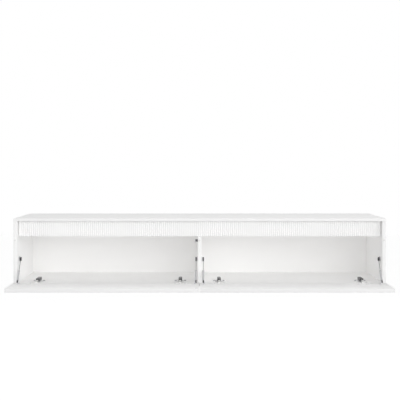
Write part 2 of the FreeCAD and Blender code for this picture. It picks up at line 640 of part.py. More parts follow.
def flap(side):
    x0, x1 = FLAPS[side]
    rear = FRONT_Y - FLAP_REAR_GAP
    panel = box(x0, x1, rear - FLAP_LENGTH, rear, FLOOR_Z - BOARD, FLOOR_Z)
    panel = rounded(panel, FLAP_HINGE_ROUND,
                    lambda mid: mid.y > rear - EDGE_ROUND and x0 + 1 < mid.x < x1 - 1)
    panel = rounded(panel, EDGE_ROUND, lambda mid: mid.y < rear - FLAP_LENGTH + EDGE_ROUND)
    deep = CUP_DEPTH + CUP_PLAY
    drillings = [rod(CUP_RADIUS + CUP_PLAY, deep, at(x, CUP_BEHIND, -deep), Z_AXIS)
                 for name, x in HINGE_PLACES.items() if name.startswith(side)]
    return drill(panel, drillings + [pilot(placed) for placed in flap_screws(side)])


def flap_bumpers():
    """Rubber dots on the front edges that the shut flaps rest against."""
    level = FASCIA_LOW_Z - BUMPER_BELOW_FASCIA
    places = [-SIDE_IN_X - BOARD / 2, 0.0, SIDE_IN_X + BOARD / 2]
    return [rod(BUMPER_RADIUS, BUMPER_HEIGHT, Vector(x, FRONT_Y, level), -Y_AXIS) for x in places]


# ---- nodes -----------------------------------------------------------------------------------
def solids(placed):
    return [one["solid"] for one in placed]


def build():
    nodes = {
        "top_panel": top_panel(), "bottom_panel": bottom_panel(),
        "side_panel_left": side_panel("left"), "side_panel_right": side_panel("right"),
        "centre_divider": centre_divider(), "back_panel": back_panel(),
        "hanging_rail": hanging_rail(), "front_rail": front_rail(), "fluted_fascia": fluted_fascia(),
        "fascia_screws": solids(fascia_screws()),
        "wood_dowels": [dowel(seam, way) for face, end, seam, way in dowel_places()],
        "cam_bolts": [cam_bolt(x, y) for x, y, inward in cam_places()],
        "cam_housings": [cam_housing(x, y, inward).cut(cam_bolt(x, y, DOWEL_PLAY))
                         for x, y, inward in cam_places()],
        "hinge_pins": [hinge_pin(x) for x in HINGE_PLACES.values()],
        "hinge_plate_screws": solids(plate_screws()), "hinge_arm_screws": solids(arm_screws()),
        "stay_bracket_screws": [one for name in STAYS
                                for one in solids(bracket_screws(name, on_flap=False))],
        "stay_brackets_outer": [stay_wall_bracket("left_outer"), stay_wall_bracket("right_outer")],
        "stay_brackets_inner": [stay_wall_bracket("left_inner"), stay_wall_bracket("right_inner")],
        "catch_body": catch_body(), "catch_magnet": catch_magnet(), "catch_screws": solids(catch_screws()),
        "catch_strike": catch_strike(), "flap_bumpers": flap_bumpers(),
    }
    for side in FLAPS:
        nodes["flap_" + side] = flap(side)
        nodes["flap_screws_" + side] = solids(flap_screws(side))
    for name, x in HINGE_PLACES.items():
        nodes["hinge_cup_" + name] = hinge_cup(x)
        nodes["hinge_arm_" + name] = hinge_arm(x)
        nodes["hinge_plate_" + name] = hinge_plate(x)
    for name in STAYS:
        nodes["stay_flap_bracket_" + name] = stay_flap_bracket(name)
        nodes["stay_foot_" + name] = stay_foot(name)
        nodes["stay_cylinder_" + name] = stay_cylinder(name)
        nodes["stay_rod_" + name] = stay_rod(name)
        nodes["stay_head_" + name] = stay_head(name)
    return nodes


def main():
    os.makedirs("parts", exist_ok=True)
    for name, shape in build().items():
        if isinstance(shape, list):
            shape = Part.makeCompound(shape)
        shape.exportStep("parts/" + name + ".step")
        state = "valid" if shape.isValid() else "INVALID"
        print(name, len(shape.Solids), "solids", state, round(shape.Volume))


main()
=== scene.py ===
"""Looks of a wall-hung media console: lacquered boards, a reeded fascia, flap hinges and stays."""

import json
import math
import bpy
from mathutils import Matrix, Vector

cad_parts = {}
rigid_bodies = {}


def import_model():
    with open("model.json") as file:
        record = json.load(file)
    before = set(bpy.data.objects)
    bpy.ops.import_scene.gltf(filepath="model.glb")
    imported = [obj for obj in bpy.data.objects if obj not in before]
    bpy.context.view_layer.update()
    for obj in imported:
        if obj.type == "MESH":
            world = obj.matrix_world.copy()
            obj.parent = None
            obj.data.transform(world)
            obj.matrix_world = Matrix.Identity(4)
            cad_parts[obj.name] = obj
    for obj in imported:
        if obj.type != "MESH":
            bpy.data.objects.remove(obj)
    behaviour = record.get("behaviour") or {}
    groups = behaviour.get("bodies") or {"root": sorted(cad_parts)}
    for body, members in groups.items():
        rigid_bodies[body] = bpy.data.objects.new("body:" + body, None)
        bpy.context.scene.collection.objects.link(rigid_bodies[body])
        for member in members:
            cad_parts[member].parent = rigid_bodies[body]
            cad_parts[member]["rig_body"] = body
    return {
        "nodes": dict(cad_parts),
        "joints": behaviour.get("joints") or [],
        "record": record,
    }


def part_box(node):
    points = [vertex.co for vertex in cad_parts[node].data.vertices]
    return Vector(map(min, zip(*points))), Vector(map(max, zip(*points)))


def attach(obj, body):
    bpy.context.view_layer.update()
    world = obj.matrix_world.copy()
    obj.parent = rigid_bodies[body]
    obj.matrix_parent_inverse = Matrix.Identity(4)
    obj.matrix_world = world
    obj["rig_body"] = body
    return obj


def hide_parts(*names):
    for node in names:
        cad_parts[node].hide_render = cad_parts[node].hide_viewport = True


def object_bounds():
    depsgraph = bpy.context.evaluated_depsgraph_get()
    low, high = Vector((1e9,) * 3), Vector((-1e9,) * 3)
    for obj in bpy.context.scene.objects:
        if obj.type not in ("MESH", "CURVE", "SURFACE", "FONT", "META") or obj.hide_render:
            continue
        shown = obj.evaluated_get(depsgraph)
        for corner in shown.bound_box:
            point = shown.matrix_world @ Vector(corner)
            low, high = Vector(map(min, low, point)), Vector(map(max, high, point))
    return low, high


bl_info = {
    "name": "Wall-hung media console",
    "version": (1, 0, 0),
    "blender": (4, 5, 0),
    "location": "View3D > Sidebar > Console",
    "description": "Dresses the console's fixed frame with boards, reeds, fittings and finishes",
    "category": "Object",
}

import bmesh
import bpy
from bpy.props import FloatProperty, FloatVectorProperty, IntProperty, PointerProperty
from mathutils import Matrix, Vector

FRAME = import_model()
NODES = FRAME["nodes"]
JOINTS = {joint["name"]: joint for joint in FRAME["joints"]}
WALL_SCREWS = [mount for mount in FRAME["record"]["mounts"] if mount["kind"] == "bolt_pattern"]
CAD_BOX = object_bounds()
MM = 0.001

# Where the hinges and the stays are.
PLACES = ("left_outer", "left_inner", "right_inner", "right_outer")

# Each node has the finish of its slot in the record, apart from these fittings.
SLOT_OF = {entry["node"]: entry["material_slot"] for entry in FRAME["record"]["subparts"]}
BRIGHT_FITTINGS = ("hinge_plate_", "stay_brackets_", "stay_flap_bracket_")
SLOT_OF.update({node: "zinc_steel" for node in NODES if node.startswith(BRIGHT_FITTINGS)})
SLOT_OF.update({node: "black_plastic" for node in NODES if node.startswith("stay_foot_")})
SLOT_OF["hinge_plate_screws"] = "dark_fitting"

# Boards: plays and the reach of the cutters.
NOTCH_PLAY = 0.3 * MM
CUP_PLAY = 0.1 * MM
BACK_EDGE = 0.3 * MM
BACK_HOLE_PLAY = 1.5 * MM
STRIP_EDGE = 0.2 * MM
RIM_PULL = 4 * MM
CUTTER_LENGTH = 0.06
PAST = 0.01  # a cutter reaches this far past the board
ALONG_X = 0.9  # an edge whose direction has more X than this runs along X

# Screws. A head's section is in shares of its radius and height, and a turn of the thread in
# shares of the shank's radius and the pitch.
HEAD_RADIUS, HEAD_HEIGHT, SHANK_RADIUS = 3.4 * MM, 1.6 * MM, 1.75 * MM
THREAD_CORE, NECK, NECK_HEIGHT, TIP_RADIUS, TIP_LENGTH = 0.72, 0.9, 0.4, 0.08, 1.2
THREAD_TURN = ((THREAD_CORE, 0.15), (1.0, 0.5), (THREAD_CORE, 0.85))
SCREW_STEP = math.radians(23)  # each screw of a set is turned this much more than the last
PAN_HEAD = ((1.0, 0.0), (1.0, 0.45), (0.93, 0.72), (0.72, 0.94), (0.5, 1.0), (0.05, 1.0))
RECESS = (1.1, 0.24, 1.2)  # length and width over the head's radius, depth over its height

# Stays: sections in millimetres. A groove or an end is (how deep, how far along the piece).
ROD_RADIUS, PISTON_RADIUS, TUBE_RADIUS, TUBE_BORE = 1.6, 2.85, 4.0, 2.9
PISTON_FROM, TUBE_FROM = 2.5, 3.5  # only the piston and the tube's wall lie outside these
CHAMFER, TUBE_CHAMFER, AXIS_GAP = 0.2, 0.5, 0.4
TUBE_FOOT, TUBE_CAP, CAP_PLAY = 5.0, 3.0, 0.3
PISTON_RING = ((CHAMFER, 0.0), (0.0, CHAMFER), (0.0, 2.2), (0.5, 2.2), (0.5, 3.4), (0.0, 3.4))
ROLLED_GROOVE = ((0.0, 7.0), (0.2, 6.7), (0.4, 6.3), (0.4, 5.8), (0.2, 5.4), (0.0, 5.1))
ROUNDED_END = ((0.0, 0.9), (0.3, 0.2), (0.7, 0.0))

# Dowels, cams and bumper dots. A dot's section is in shares of its size.
DOWEL_SIDES, DOWEL_CHAMFER, FLUTE = 24, 0.25, 0.95
CAM_EDGE = 0.2 * MM
CAM_SLOT = (3.0 * MM, 7.0 * MM, 1.3 * MM)
RIGHT_CAMS_FROM = 0.05  # the cams beyond this open to the left
BUMPER_DOME = ((1.0, 0.0), (1.0, 0.35), (0.93, 0.66), (0.75, 0.88), (0.45, 0.98), (0.05, 1.0))

# Stage.
SENSOR_WIDTH, CAMERA_SHIFT, CAMERA_REACH = 36.0, (0.00085, -0.08875), 60.0
FLOOR_SPAN, FLOOR_ROUGHNESS = 24.0, 0.9
SUN_PLACE = (0.0, -3.0, 1.0)
OVERHEAD_PLACE, OVERHEAD_SIZE = (0.0, 0.7, 3.6), (3.0, 2.0)
REAR_PLACE, REAR_SIZE = (0.0, 1.6, -0.5), (2.4, 0.5)
INNER_SHARE, INNER_GAP = (0.9, 0.5), 2 * MM  # of a compartment's width and depth, under the top
ALL_BOUNCES, DIFFUSE_BOUNCES = 20, 16


# ---- what a user would change
def colour_property(name, description, default):
    return FloatVectorProperty(name=name, description=description, default=default,
                               subtype="COLOR", size=3, min=0.0, max=1.0)


def length_property(name, description, default):
    return FloatProperty(name=name, description=description, default=default, unit="LENGTH",
                         min=0.0, precision=5)


def level_property(name, description, default, unit="NONE"):
    return FloatProperty(name=name, description=description, default=default, unit=unit, min=0.0)


def angle_property(name, description, degrees):
    return FloatProperty(name=name, description=description, default=math.radians(degrees), subtype="ANGLE")


class ConsoleColours(bpy.types.PropertyGroup):
    """Colours of the console's finishes"""
    lacquer: colour_property("Lacquer", "White satin lacquer of the boards", (0.932, 0.93, 0.928))
    foil: colour_property("Back foil", "White foil on the back board", (0.927, 0.925, 0.92))
    dark_metal: colour_property("Dark metal", "Hinge arms, plate screws and the catch", (0.075, 0.075, 0.08))
    black_plastic: colour_property("Stay ends", "Black heads and feet of the stays", (0.05, 0.05, 0.054))
    tube_paint: colour_property("Stay tube", "Silver grey of the stay tubes", (0.52, 0.52, 0.535))
    white_plastic: colour_property("Hinge cup", "White moulded plastic of the cups", (0.84, 0.84, 0.83))
    steel: colour_property("Zinc plate", "Zinc plated hinge plates, brackets and screws", (0.60, 0.60, 0.62))
    # Near-white nose colour: partly the arm's satin nickel, partly a painted reflection of the white
    # surroundings.
    nickel: colour_property("Arm nose", "Satin nickel of the bare end of a hinge arm", (0.80, 0.80, 0.79))
    chrome: colour_property("Stay rod", "Polished rod", (0.46, 0.46, 0.47))
    magnet: colour_property("Magnet", "Dark ground face of the catch magnet", (0.09, 0.09, 0.095))
    beech: colour_property("Dowels", "Plain beech", (0.56, 0.36, 0.19))
    rubber_low: colour_property("Rubber", "Milky rubber of the bumper dots", (0.80, 0.80, 0.79))
    rubber_high: colour_property("Rubber clouds", "Paler clouds in the rubber", (0.86, 0.86, 0.85))


class ConsoleSizes(bpy.types.PropertyGroup):
    """Small sizes that the frame leaves to the finish"""
    board_edge: length_property("Board edge", "Rounding of the lacquered board edges", 0.8 * MM)
    hinge_edge: length_property("Hinge edge", "Rounding of a flap's edges beside the hinge line", 2.8 * MM)
    fitting_edge: length_property("Fitting edge", "Rounding of the fittings' outer edges", 0.2 * MM)
    reed_valley: length_property("Reed valley", "Flat between two reeds", 0.75 * MM)
    reed_depth: length_property("Reed depth", "Height of a reed over its valley", 2.0 * MM)
    strip_setback: length_property("Strip setback", "Packing strip behind the valleys of the reeds", 0.5 * MM)
    strip_play: length_property("Strip play", "Play of the packing strip over and under", 0.05 * MM)
    # Where the arm's pale nose, partly a painted reflection, gives way to the dark arm.
    nose_end: length_property("Bare nose", "Cabinet's front edges to where a bare nose ends", 12.0 * MM)
    reed_count: IntProperty(name="Reeds", description="Reeds along the fascia", default=178, min=1)
    thread_pitch: length_property("Thread pitch", "Pitch of the screws' threads", 1.4 * MM)


class ConsoleStudio(bpy.types.PropertyGroup):
    """Camera and light"""
    camera_distance: length_property("Camera distance", "Camera to the front edges of the cabinet", 4.45)
    camera_height: length_property("Camera height", "Camera above the wall-screw line", 0.2836)
    focal_length: FloatProperty(name="Focal length", description="Lens of the camera", default=93.29,
                                min=1.0, unit="CAMERA")
    floor_drop: length_property("Floor drop", "Floor below the underside of the console", 0.62)
    floor_tone: level_property("Floor tone", "Grey of the floor", 0.6)
    floor_glow: level_property("Floor glow", "What the camera sees of an unlit floor", 0.56)
    key_strength: level_property("Key light", "Strength of the broad light from the front", 1.07)
    key_spread: angle_property("Key spread", "Angle that the broad light fills", 46.0)
    key_side: angle_property("Key side", "Angle of the broad light to the right", 9.0)
    key_height: angle_property("Key height", "Angle of the front lights over the level", 9.0)
    side_turn: angle_property("Side turn", "Angle of the side lights from straight ahead", 55.0)
    side_spread: angle_property("Side spread", "Angle that a side light fills", 40.0)
    right_strength: level_property("Right light", "Strength of the light from the right", 0.84)
    left_strength: level_property("Left light", "Strength of the light from the left", 0.25)
    overhead_power: level_property("Overhead light", "Soft light above the console", 29.0, "POWER")
    rear_power: level_property("Rear light", "Soft light on the rear of the console", 5.0, "POWER")
    inner_power: level_property("Inner light", "Soft light under the top of a compartment", 0.108, "POWER")
    world_level: level_property("Ambient", "Level of the white surroundings", 0.5)


# ---- selecting and placing
def select_only(obj):
    bpy.ops.object.select_all(action="DESELECT")
    obj.select_set(True)
    bpy.context.view_layer.objects.active = obj


def start_edit(obj, kind="FACE"):
    select_only(obj)
    bpy.ops.object.mode_set(mode="EDIT")
    bpy.ops.mesh.select_mode(type=kind)
    bpy.ops.mesh.select_all(action="DESELECT")


def end_edit():
    bpy.ops.object.mode_set(mode="OBJECT")


def pick_edges(obj, test):
    """Selects the edges whose middle and direction pass the test."""
    mesh = bmesh.from_edit_mesh(obj.data)
    for edge in mesh.edges:
        first, last = edge.verts[0].co, edge.verts[1].co
        edge.select_set(bool(test((first + last) / 2, (last - first).normalized())))
    bmesh.update_edit_mesh(obj.data)


def new_object(name):
    obj = bpy.context.object
    obj.name = name
    obj.data.name = name
    return obj


def settle(obj):
    """Puts the place of an object into its mesh."""
    select_only(obj)
    bpy.ops.object.transform_apply(location=True, rotation=True, scale=True)
    return obj


def weld(threshold):
    """Joins the vertices of the mesh in edit mode that lie this close."""
    bpy.ops.mesh.select_all(action="SELECT")
    bpy.ops.mesh.remove_doubles(threshold=threshold)


def tidy_normals(obj):
    start_edit(obj)
    weld(1e-6)
    bpy.ops.mesh.normals_make_consistent(inside=False)
    end_edit()


def smooth(obj, degrees=32.0):
    select_only(obj)
    bpy.ops.object.shade_smooth_by_angle(angle=math.radians(degrees))
    return obj


def apply_modifiers(obj):
    select_only(obj)
    for modifier in list(obj.modifiers):
        bpy.ops.object.modifier_apply(modifier=modifier.name)


def cut(obj, cutter):
    """Takes the cutter's shape out of a piece."""
    modifier = obj.modifiers.new("cut", "BOOLEAN")
    modifier.operation = "DIFFERENCE"
    modifier.solver = "EXACT"
    modifier.object = cutter
    apply_modifiers(obj)
    bpy.data.objects.remove(cutter)


def join(objects, name):
    bpy.ops.object.select_all(action="DESELECT")
    for obj in objects:
        obj.select_set(True)
    bpy.context.view_layer.objects.active = objects[0]
    if len(objects) > 1:
        bpy.ops.object.join()
    return new_object(name)


def block(name, place, size, rotation=(0, 0, 0)):
    """Cube at its size and place."""
    bpy.ops.mesh.primitive_cube_add(size=1.0, location=place, rotation=rotation, scale=size)
    return new_object(name)


def copy_of(obj, matrix):
    """Copy with a mesh of its own, moved by the matrix."""
    twin = obj.copy()
    twin.data = obj.data.copy()
    bpy.context.scene.collection.objects.link(twin)
    twin.matrix_world = matrix @ obj.matrix_world
    return settle(twin)


def aim(origin, direction):
    """Matrix that lays a piece's own +Z along a direction, with its foot at the origin given."""
    turn = Vector((0, 0, 1)).rotation_difference(Vector(direction)).to_matrix().to_4x4()
    return Matrix.Translation(Vector(origin)) @ turn


def scaled(section, across, along):
    """A section of (radius, height) points at another size."""
    return [(radius * across, height * along) for radius, height in section]


def solids_of(node):
    """Lowest and highest corner of each separate solid in a node."""
    mesh = NODES[node].data
    place = {}
    parent = []

    def root(index):
        while parent[index] != index:
            parent[index] = parent[parent[index]]
            index = parent[index]
        return index

    group = []
    for vertex in mesh.vertices:
        key = tuple(round(value, 6) for value in vertex.co)
        if key not in place:
            place[key] = len(parent)
            parent.append(len(parent))
        group.append(place[key])
    for face in mesh.polygons:
        first = root(group[face.vertices[0]])
        for vertex in face.vertices:
            parent[root(group[vertex])] = first
    boxes = {}
    for key, index in place.items():
        low, high = boxes.setdefault(root(index), (list(key), list(key)))
        for axis in range(3):
            low[axis] = min(low[axis], key[axis])
            high[axis] = max(high[axis], key[axis])
    return [(Vector(low), Vector(high)) for low, high in boxes.values()]


def carry(obj, node):
    """A finished piece stands for its CAD node, takes its slot and rides on its body."""
    obj.data.materials.clear()
    obj.data.materials.append(finish_for(node))
    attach(obj, NODES[node]["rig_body"])
    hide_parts(node)
    return obj


# ---- node groups and materials
def group(name, inputs, outputs):
    """Empty shader group with float inputs and the outputs given."""
    tree = bpy.data.node_groups.new(name, "ShaderNodeTree")
    for label, value in inputs:
        socket = tree.interface.new_socket(label, in_out="INPUT", socket_type="NodeSocketFloat")
        socket.default_value = value
    for label in outputs:
        tree.interface.new_socket(label, in_out="OUTPUT", socket_type="NodeSocketFloat")
    return tree, tree.nodes.new("NodeGroupInput"), tree.nodes.new("NodeGroupOutput")


def give(tree, value, socket):
    """Sets a number on the socket, or links another socket to it."""
    if isinstance(value, (int, float)):
        socket.default_value = value
    else:
        tree.links.new(value, socket)


def math_node(tree, operation, first, second, clamp=False):
    """Two numbers or sockets put together."""
    node = tree.nodes.new("ShaderNodeMath")
    node.operation = operation
    node.use_clamp = clamp
    give(tree, first, node.inputs[0])
    give(tree, second, node.inputs[1])
    return node.outputs[0]


def noise_of(tree, vector, scale, detail=4.0, roughness=0.55):
    """Noise whose scale is a number or a socket."""
    node = tree.nodes.new("ShaderNodeTexNoise")
    node.inputs["Detail"].default_value = detail
    node.inputs["Roughness"].default_value = roughness
    tree.links.new(vector, node.inputs["Vector"])
    give(tree, scale, node.inputs["Scale"])
    return node.outputs["Fac"]


def stretched(tree, scale):
    """Object coordinates, stretched along the axes."""
    place = tree.nodes.new("ShaderNodeTexCoord")
    mapping = tree.nodes.new("ShaderNodeMapping")
    mapping.inputs["Scale"].default_value = scale
    tree.links.new(place.outputs["Object"], mapping.inputs["Vector"])
    return mapping.outputs["Vector"]


def sprayed_coat_group():
    """Soft clouding and the fine orange peel of a sprayed coat."""
    finer, fine_share, dust_level = 3.1, 0.25, 0.74
    tree, given, result = group("sprayed coat", [("Cloud size", 6.0), ("Peel size", 420.0), ("Dust", 0.5)],
                                ["Cloud", "Peel", "Speck"])
    place = stretched(tree, (1, 1, 1))
    cloud = noise_of(tree, place, given.outputs["Cloud size"], detail=3.0)
    peel = noise_of(tree, place, given.outputs["Peel size"], detail=2.0, roughness=0.4)
    fine_size = math_node(tree, "MULTIPLY", given.outputs["Peel size"], finer)
    fine = noise_of(tree, place, fine_size, detail=2.0)
    speck = math_node(tree, "GREATER_THAN", fine, dust_level)
    rough_peel = math_node(tree, "ADD", peel, math_node(tree, "MULTIPLY", fine, fine_share))
    tree.links.new(cloud, result.inputs["Cloud"])
    tree.links.new(rough_peel, result.inputs["Peel"])
    tree.links.new(math_node(tree, "MULTIPLY", speck, given.outputs["Dust"]), result.inputs["Speck"])
    return tree


def drawn_metal_group():
    """Lines along X, Y or Z left by drawing, rolling or grinding."""
    line_stretch = 0.02
    tree, given, result = group("drawn metal", [("Line size", 900.0)],
                                ["Lines X", "Lines Y", "Lines Z", "Stain"])
    for axis, label in enumerate(("Lines X", "Lines Y", "Lines Z")):
        scale = [1.0, 1.0, 1.0]
        scale[axis] = line_stretch
        lines = noise_of(tree, stretched(tree, scale), given.outputs["Line size"], detail=3.0, roughness=0.7)
        tree.links.new(lines, result.inputs[label])
    tree.links.new(noise_of(tree, stretched(tree, (1, 1, 1)), 90.0), result.inputs["Stain"])
    return tree


def moulded_grain_group():
    """Spark-eroded grain of moulded plastic."""
    tree, given, result = group("moulded grain", [("Grain size", 1800.0)], ["Grain", "Tone"])
    place = stretched(tree, (1, 1, 1))
    cells = tree.nodes.new("ShaderNodeTexVoronoi")
    tree.links.new(place, cells.inputs["Vector"])
    tree.links.new(given.outputs["Grain size"], cells.inputs["Scale"])
    grain = noise_of(tree, place, given.outputs["Grain size"], detail=2.0)
    tree.links.new(math_node(tree, "ADD", cells.outputs["Distance"], grain), result.inputs["Grain"])
    tree.links.new(noise_of(tree, place, 60.0, detail=2.0), result.inputs["Tone"])
    return tree


def wood_grain_group():
    """Straight grain and short rays of turned beech."""
    ray_level = 0.62
    tree, given, result = group("beech grain", [("Grain size", 500.0)], ["Grain", "Rays"])
    grain = noise_of(tree, stretched(tree, (1, 1, 0.08)), given.outputs["Grain size"], detail=5.0)
    rays = noise_of(tree, stretched(tree, (2.4, 2.4, 0.5)), given.outputs["Grain size"], detail=1.0)
    tree.links.new(grain, result.inputs["Grain"])
    tree.links.new(math_node(tree, "GREATER_THAN", rays, ray_level), result.inputs["Rays"])
    return tree


class Finish:
    """One material: a Principled shader fed by a shared group."""

    def __init__(self, name, tree_group, values=()):
        self.material = bpy.data.materials.new(name)
        self.material.use_nodes = True
        self.tree = self.material.node_tree
        self.shader = self.tree.nodes["Principled BSDF"]
        self.pattern = self.tree.nodes.new("ShaderNodeGroup")
        self.pattern.node_tree = tree_group
        for label, value in values:
            self.pattern.inputs[label].default_value = value

    def set(self, **values):
        """Values of the shader's own sockets."""
        for label, value in values.items():
            self.shader.inputs[label.replace("_", " ")].default_value = value
        return self

    def colour(self, output, dark, light):
        """Base colour that goes from one colour to the other with a value of the group."""
        mix = self.tree.nodes.new("ShaderNodeMix")
        mix.data_type = "RGBA"
        mix.inputs["A"].default_value = (*dark, 1.0)
        mix.inputs["B"].default_value = (*light, 1.0)
        self.tree.links.new(self.pattern.outputs[output], mix.inputs["Factor"])
        self.tree.links.new(mix.outputs["Result"], self.shader.inputs["Base Color"])
        return self

    def roughness(self, output, low, high):
        """Roughness that goes from low to high with a value of the group."""
        spread = self.tree.nodes.new("ShaderNodeMapRange")
        spread.inputs["To Min"].default_value = low
        spread.inputs["To Max"].default_value = high
        self.tree.links.new(self.pattern.outputs[output], spread.inputs["Value"])
        self.tree.links.new(spread.outputs["Result"], self.shader.inputs["Roughness"])
        return self

    def bump(self, output, depth):
        """Relief as deep as given, from a value of the group."""
        node = self.tree.nodes.new("ShaderNodeBump")
        node.inputs["Distance"].default_value = depth
        node.inputs["Strength"].default_value = 1.0
        self.tree.links.new(self.pattern.outputs[output], node.inputs["Height"])
        self.tree.links.new(node.outputs["Normal"], self.shader.inputs["Normal"])
        return self


def make_finishes(colours):
    """Every material of the console, by the record's slot."""
    def tones(name, *factors):
        return [[min(1.0, channel * factor) for channel in getattr(colours, name)] for factor in factors]

    coat, metal = sprayed_coat_group(), drawn_metal_group()
    grain, wood = moulded_grain_group(), wood_grain_group()
    finishes = {
        "white_lacquer": Finish("white satin lacquer", coat, [("Cloud size", 5.0), ("Peel size", 380.0)])
        .colour("Cloud", *tones("lacquer", 0.988, 1.012)).roughness("Cloud", 0.54, 0.64)
        .bump("Peel", 0.02 * MM).set(Specular_IOR_Level=0.22),
        "white_hardboard": Finish("white foil", coat, [("Cloud size", 9.0), ("Peel size", 900.0)])
        .colour("Cloud", *tones("foil", 0.985, 1.01)).roughness("Peel", 0.48, 0.6).bump("Peel", 0.03 * MM),
        "dark_fitting": Finish("dark pressed metal", metal, [("Line size", 700.0)])
        .colour("Stain", *tones("dark_metal", 0.8, 1.3)).roughness("Lines Y", 0.3, 0.45)
        .bump("Lines Y", 0.01 * MM).set(Metallic=0.65),
        "white_plastic": Finish("white moulded plastic", grain, [("Grain size", 1500.0)])
        .colour("Tone", *tones("white_plastic", 0.97, 1.0)).roughness("Grain", 0.4, 0.52)
        .bump("Grain", 0.01 * MM),
        "zinc_steel": Finish("zinc plated steel", metal, [("Line size", 1100.0)])
        .colour("Stain", *tones("steel", 0.86, 1.12)).roughness("Stain", 0.24, 0.4)
        .bump("Lines X", 0.006 * MM).set(Metallic=1.0),
        # Pale nickel of the arm's nose, low in metal: its near-white colour is partly satin nickel, partly a
        # painted reflection of the white surroundings.
        "satin_nickel": Finish("satin nickel", metal, [("Line size", 900.0)])
        .colour("Stain", *tones("nickel", 0.94, 1.05)).roughness("Lines Y", 0.42, 0.55)
        .bump("Lines Y", 0.006 * MM).set(Metallic=0.25),
        "chrome_rod": Finish("polished rod", metal, [("Line size", 1600.0)])
        .colour("Stain", *tones("chrome", 0.96, 1.03)).roughness("Stain", 0.08, 0.16)
        .bump("Lines Z", 0.002 * MM).set(Metallic=1.0),
        "grey_tube": Finish("silver grey paint", coat,
                            [("Cloud size", 40.0), ("Peel size", 1400.0), ("Dust", 0.6)])
        .colour("Speck", *tones("tube_paint", 1.0, 1.35)).roughness("Cloud", 0.28, 0.4)
        .bump("Peel", 0.006 * MM).set(Metallic=0.1, Coat_Weight=0.15, Coat_Roughness=0.25),
        "black_plastic": Finish("black moulded plastic", grain, [("Grain size", 1700.0)])
        .colour("Tone", *tones("black_plastic", 0.85, 1.25)).roughness("Grain", 0.42, 0.58)
        .bump("Grain", 0.015 * MM),
        "beech": Finish("plain beech", wood)
        .colour("Grain", *tones("beech", 0.78, 1.2)).roughness("Rays", 0.6, 0.7).bump("Grain", 0.04 * MM),
        "clear_rubber": Finish("milky rubber", grain, [("Grain size", 900.0)])
        .colour("Tone", colours.rubber_low, colours.rubber_high).roughness("Grain", 0.45, 0.6)
        .bump("Grain", 0.01 * MM),
        "magnet": Finish("ground magnet", metal, [("Line size", 900.0)])
        .colour("Stain", *tones("magnet", 0.8, 1.3)).roughness("Lines X", 0.4, 0.55)
        .bump("Lines X", 0.01 * MM).set(Metallic=0.1),
    }
    return {slot: finish.material for slot, finish in finishes.items()}


FINISHES = {}


def finish_for(node):
    return FINISHES[SLOT_OF[node]]


# ---- boards
def eased_board(name, low, high, edge):
    """Board with rounded edges, made from a cube at its size and place."""
    board = settle(block(name, (low + high) / 2, high - low))
    start_edit(board, "EDGE")
    bpy.ops.mesh.select_all(action="SELECT")
    bpy.ops.mesh.bevel(offset=edge, segments=3, affect="EDGES")
    end_edit()
    return board


class CONSOLE_OT_carcass(bpy.types.Operator):
    """Lacquered boards of the cabinet"""
    bl_idname = "console.carcass"
    bl_label = "Carcass boards"

    def execute(self, context):
        edge = context.scene.console_sizes.board_edge
        for node in ("top_panel", "bottom_panel", "side_panel_left", "side_panel_right", "front_rail"):
            board = eased_board(node + "_board", *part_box(node), edge)
            carry(smooth(board), node)
        self.divider(edge)
        hole = WALL_SCREWS[0]["dims"]["hole_r_mm"] * MM
        self.drilled("back_foil_board", "back_panel", BACK_EDGE, hole + BACK_HOLE_PLAY)
        self.drilled("hanging_rail_board", "hanging_rail", edge, hole)
        return {"FINISHED"}

    def divider(self, edge):
        """Divider with its notch for the fascia and the front rail."""
        low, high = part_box("centre_divider")
        fascia_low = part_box("fluted_fascia")[0]
        rail_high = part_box("front_rail")[1]
        board = eased_board("centre_divider_board", low, high, edge)
        notch_low = Vector((low.x - PAST, low.y - PAST, fascia_low.z - NOTCH_PLAY))
        notch_high = Vector((high.x + PAST, rail_high.y + NOTCH_PLAY, high.z + PAST))
        cut(board, block("notch", (notch_low + notch_high) / 2, notch_high - notch_low))
        carry(smooth(board), "centre_divider")

    def drilled(self, name, node, edge, radius):
        """Board with a round hole at each wall screw."""
        low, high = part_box(node)
        board = eased_board(name, low, high, edge)
        depth = ((low + high) / 2).y
        for pair in WALL_SCREWS:
            spacing, count = pair["dims"]["spacing_x_mm"] * MM, pair["dims"]["count"]
            for index in range(count):
                across = (index - (count - 1) / 2) * spacing
                place = (across, depth, 0)
                bpy.ops.mesh.primitive_cylinder_add(vertices=32, radius=radius, depth=CUTTER_LENGTH,
                                                    location=place, rotation=(math.pi / 2, 0, 0))
                cut(board, new_object("hole"))
        carry(smooth(board), node)


